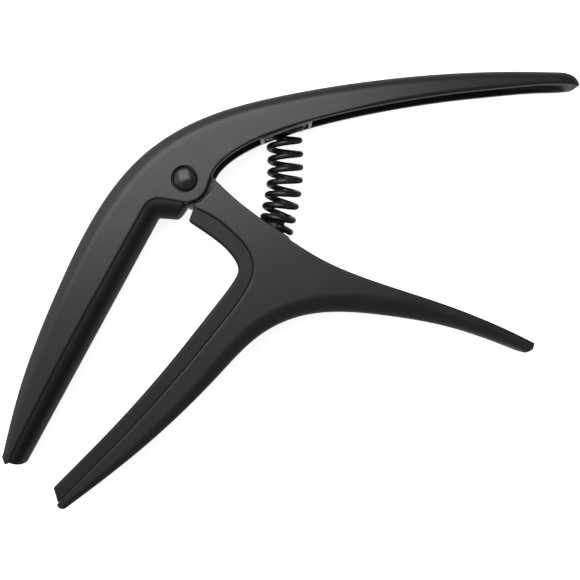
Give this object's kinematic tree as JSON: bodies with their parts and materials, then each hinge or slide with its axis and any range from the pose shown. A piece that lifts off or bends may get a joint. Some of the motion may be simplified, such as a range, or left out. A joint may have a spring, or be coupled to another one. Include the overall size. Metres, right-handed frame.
{
  "type": "guitar capo",
  "caption": "Spring clamp capo: two curved levers on one pivot, a straight and a curved rubber pad, and a compression spring that closes the jaws.",
  "frame": {"origin": "on the pivot axis, in the plane of the side that rests on the table", "axes": "+Z along the pivot axis, up from the table; +X from the pivot along the handles; +Y towards the upper lever's back"},
  "size_m": [0.1285, 0.0969, 0.015],
  "materials": {
    "coated_alloy": "satin black powder coat on die-cast alloy",
    "pad_rubber": "matt moulded silicone rubber",
    "spring_steel": "gloss black oxide over spring wire",
    "black_steel": "blackened steel, semi-gloss",
    "bare_alloy": "bare die-cast alloy, worn bright on its edges",
    "bearing_bronze": "plain sintered bronze",
    "washer_steel": "zinc-plated steel"
  },
  "bodies": {
    "upper": {"upper_lever": "coated_alloy", "fretboard_pad": "pad_rubber", "spring_seat": "bare_alloy", "main_spring": "spring_steel", "pivot_pin": "black_steel", "pivot_cap": "black_steel"},
    "lower": {"lower_lever": "coated_alloy", "neck_pad": "pad_rubber", "spring_post": "black_steel", "hub_bush": "bearing_bronze", "washer_front": "washer_steel", "washer_rear": "washer_steel"}
  },
  "joints": [
    {"name": "jaw_pivot", "type": "hinge", "parent": "upper", "child": "lower", "pos_m": [0, 0, 0], "axis": [0, 0, 1], "range_deg": [0, 20], "stiffness_Nm_per_rad": 8, "springref_deg": -3.44, "deforming": ["main_spring"]}
  ]
}
